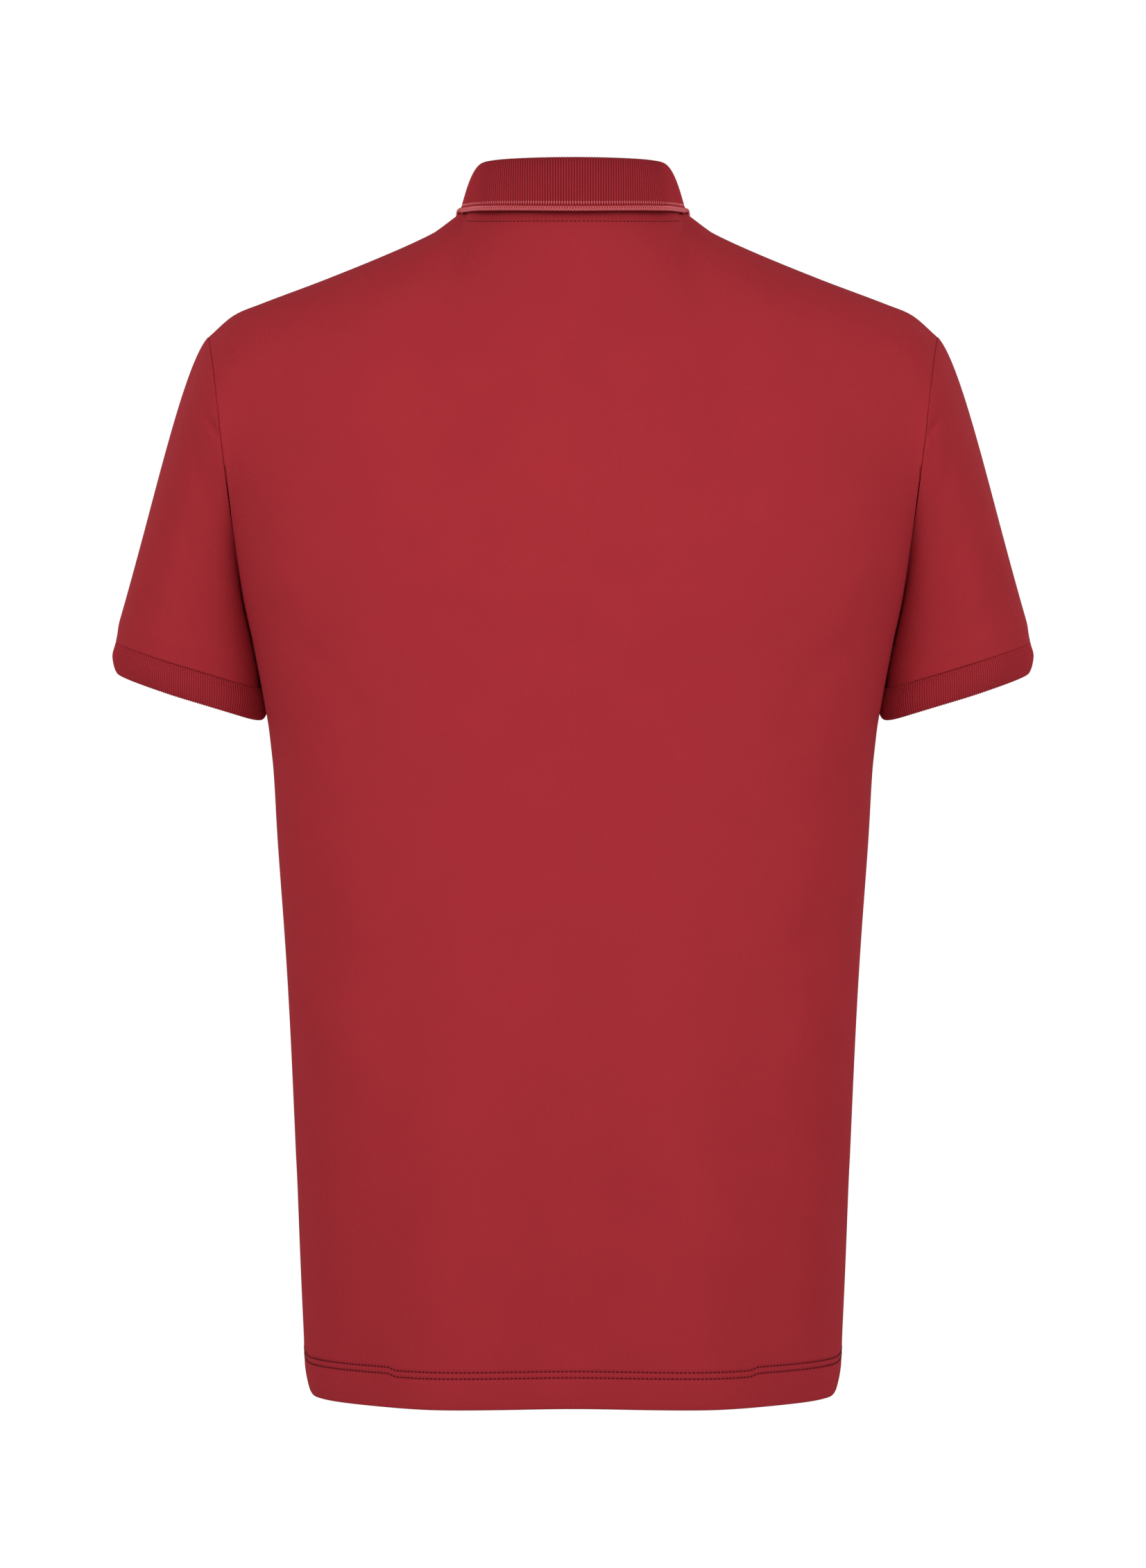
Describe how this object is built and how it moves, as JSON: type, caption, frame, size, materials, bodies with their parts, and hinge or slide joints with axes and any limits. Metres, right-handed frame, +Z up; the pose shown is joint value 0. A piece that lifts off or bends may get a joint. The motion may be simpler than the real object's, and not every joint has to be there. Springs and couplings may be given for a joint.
{
  "type": "polo shirt",
  "caption": "Short-sleeved men's polo shirt in red pique knit, filled out as if worn, with a tipped rib collar, ribbed cuffs, a buttoned placket and a straight stitched hem.",
  "frame": {"origin": "midway between the two high points of the shoulders, where the wearer's shoulders carry the shirt", "axes": "+Z up; the front of the shirt faces -Y and its back +Y; +X is the wearer's left"},
  "size_m": [0.563, 0.2467, 0.7419],
  "materials": {
    "pique": "matt pique knit",
    "rib_knit": "matt rib knit",
    "button": "satin"
  },
  "bodies": {
    "root": {"back_panel": "pique", "front_panel": "pique", "sleeve_left": "pique", "sleeve_right": "pique", "cuff_left": "rib_knit", "cuff_right": "rib_knit", "collar": "rib_knit", "placket_under_band": "pique", "placket_over_band": "pique", "button_1": "button", "button_2": "button", "button_3": "button"}
  },
  "joints": []
}
